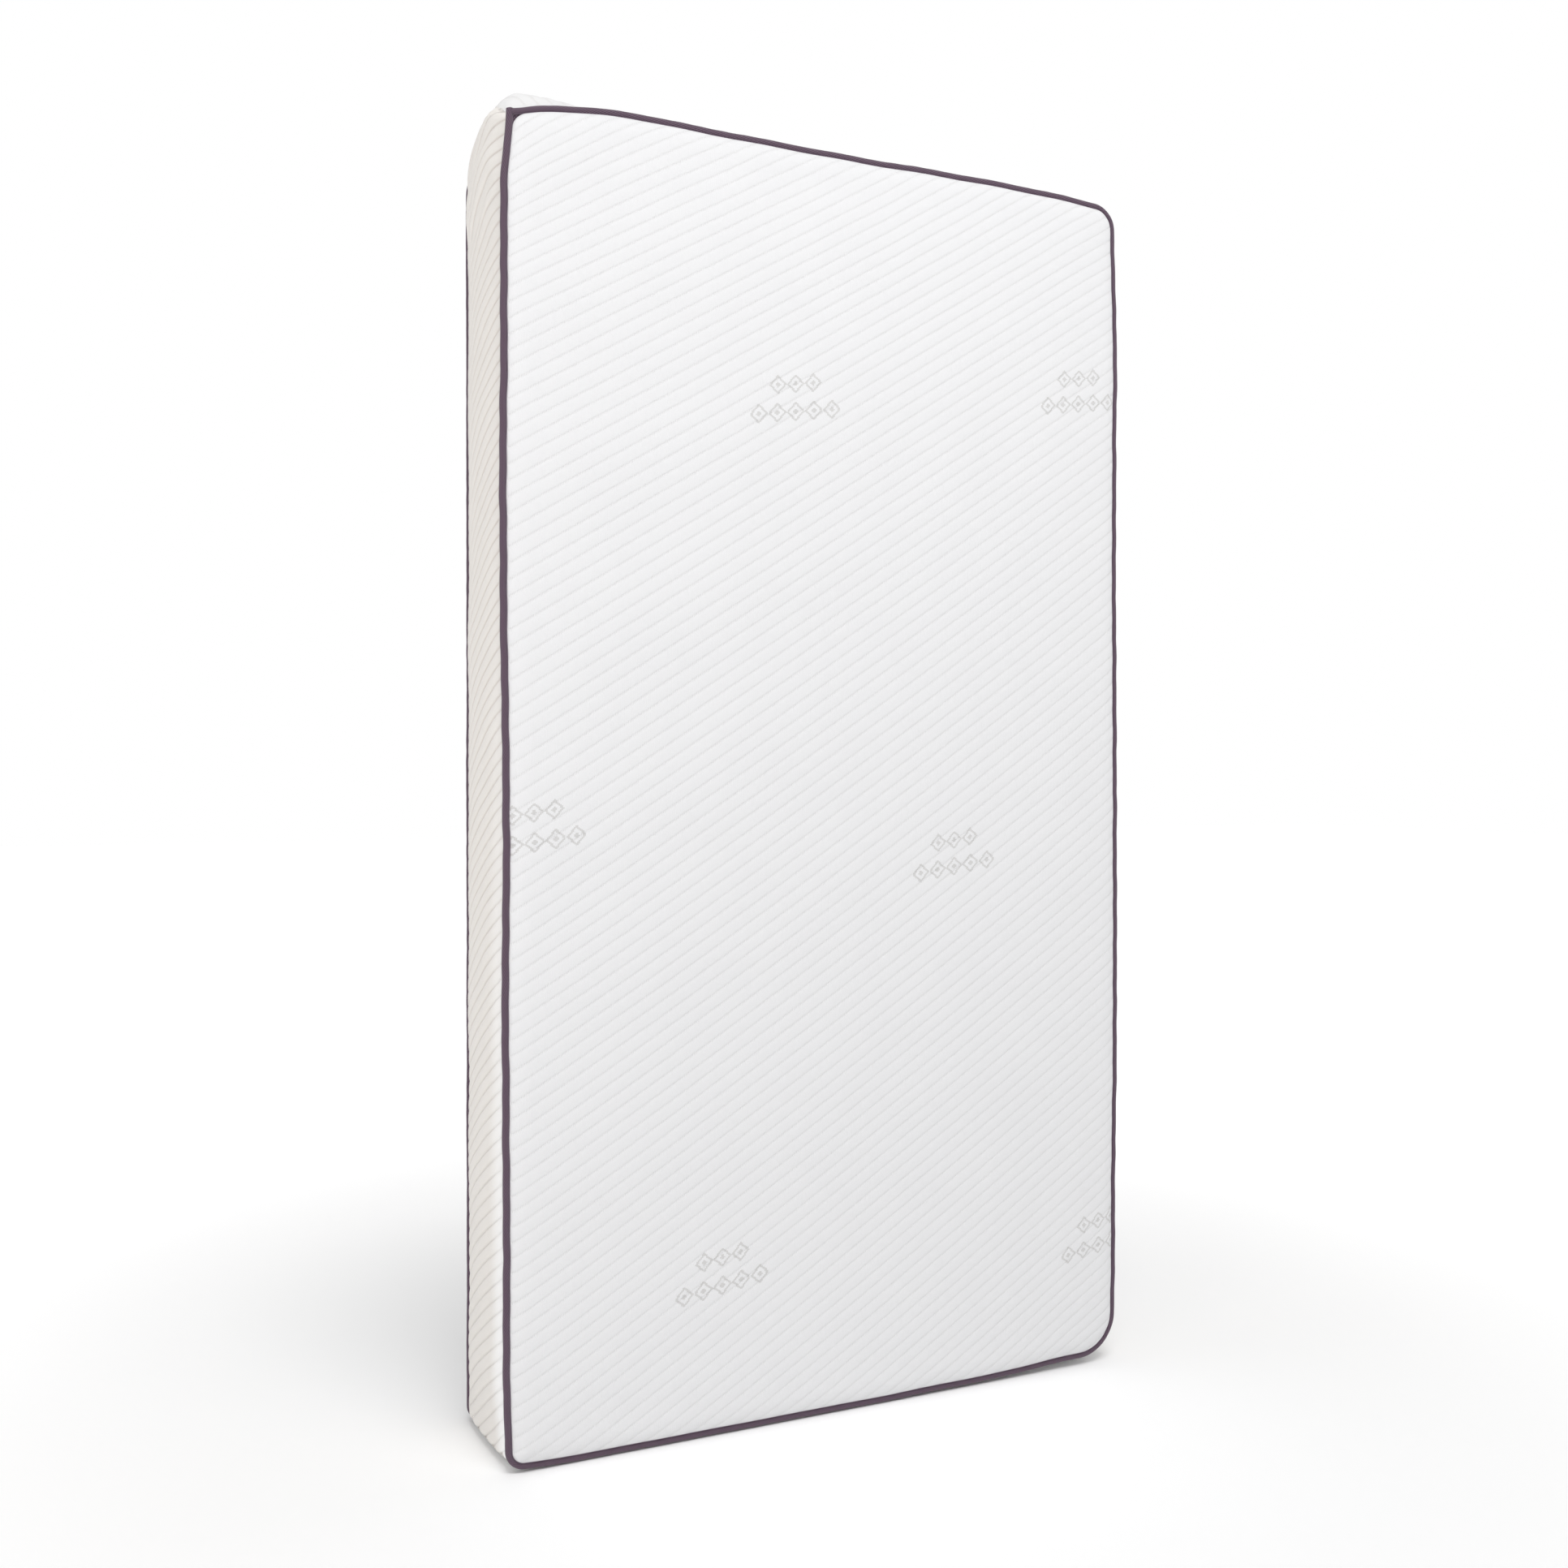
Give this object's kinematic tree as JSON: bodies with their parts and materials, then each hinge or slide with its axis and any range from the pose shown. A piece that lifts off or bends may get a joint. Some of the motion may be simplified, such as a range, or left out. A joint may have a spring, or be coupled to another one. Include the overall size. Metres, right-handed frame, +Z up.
{
  "type": "memory foam crib mattress",
  "caption": "Upright crib mattress of layered foam in a ribbed, piped zip-off knit cover.",
  "frame": {"origin": "middle of the foot end's flat face, on the surface the mattress stands on", "axes": "+Z up the length from foot to head, +X across the width towards the zip side, -Y out of the sleeping face"},
  "size_m": [0.72, 0.156, 1.32],
  "materials": {
    "cover_face": "matte",
    "cover_border": "matte",
    "piping_tape": "matte",
    "piping_cord": "matte",
    "thread": "matte",
    "zip_tape": "matte",
    "zip_coil": "satin",
    "zip_metal": "satin",
    "sleeve": "matte",
    "memory_foam": "matte",
    "support_foam": "matte",
    "label": "satin"
  },
  "bodies": {
    "mattress": {"front_panel": "cover_face", "back_panel": "cover_face", "border_left": "cover_border", "border_head": "cover_border", "border_foot": "cover_border", "border_zip_front": "cover_border", "border_zip_back": "cover_border", "front_piping_tape": "piping_tape", "front_piping_cord": "piping_cord", "rear_piping_tape": "piping_tape", "rear_piping_cord": "piping_cord", "front_seam_thread": "thread", "rear_seam_thread": "thread", "corner_seam_threads": "thread", "zip_tape_front": "zip_tape", "zip_tape_back": "zip_tape", "zip_coil_front": "zip_coil", "zip_coil_back": "zip_coil", "zip_closed_stops": "zip_metal", "zip_open_stop": "zip_metal", "zip_stitching_front": "thread", "zip_stitching_back": "thread", "inner_sleeve": "sleeve", "memory_foam_layer": "memory_foam", "support_foam_core": "support_foam", "care_label": "label"},
    "slider": {"zip_slider": "zip_metal"},
    "pull_tab": {"zip_pull_tab": "zip_metal"}
  },
  "joints": [
    {"name": "zip_slide", "type": "slide", "parent": "mattress", "child": "slider", "axis": [0, 0, 1], "range_m": [0, 1.13]},
    {"name": "tab_hinge", "type": "hinge", "parent": "slider", "child": "pull_tab", "pos_m": [0.3544, 0, 0.0932], "axis": [0, -1, 0], "range_deg": [0, 170]}
  ]
}
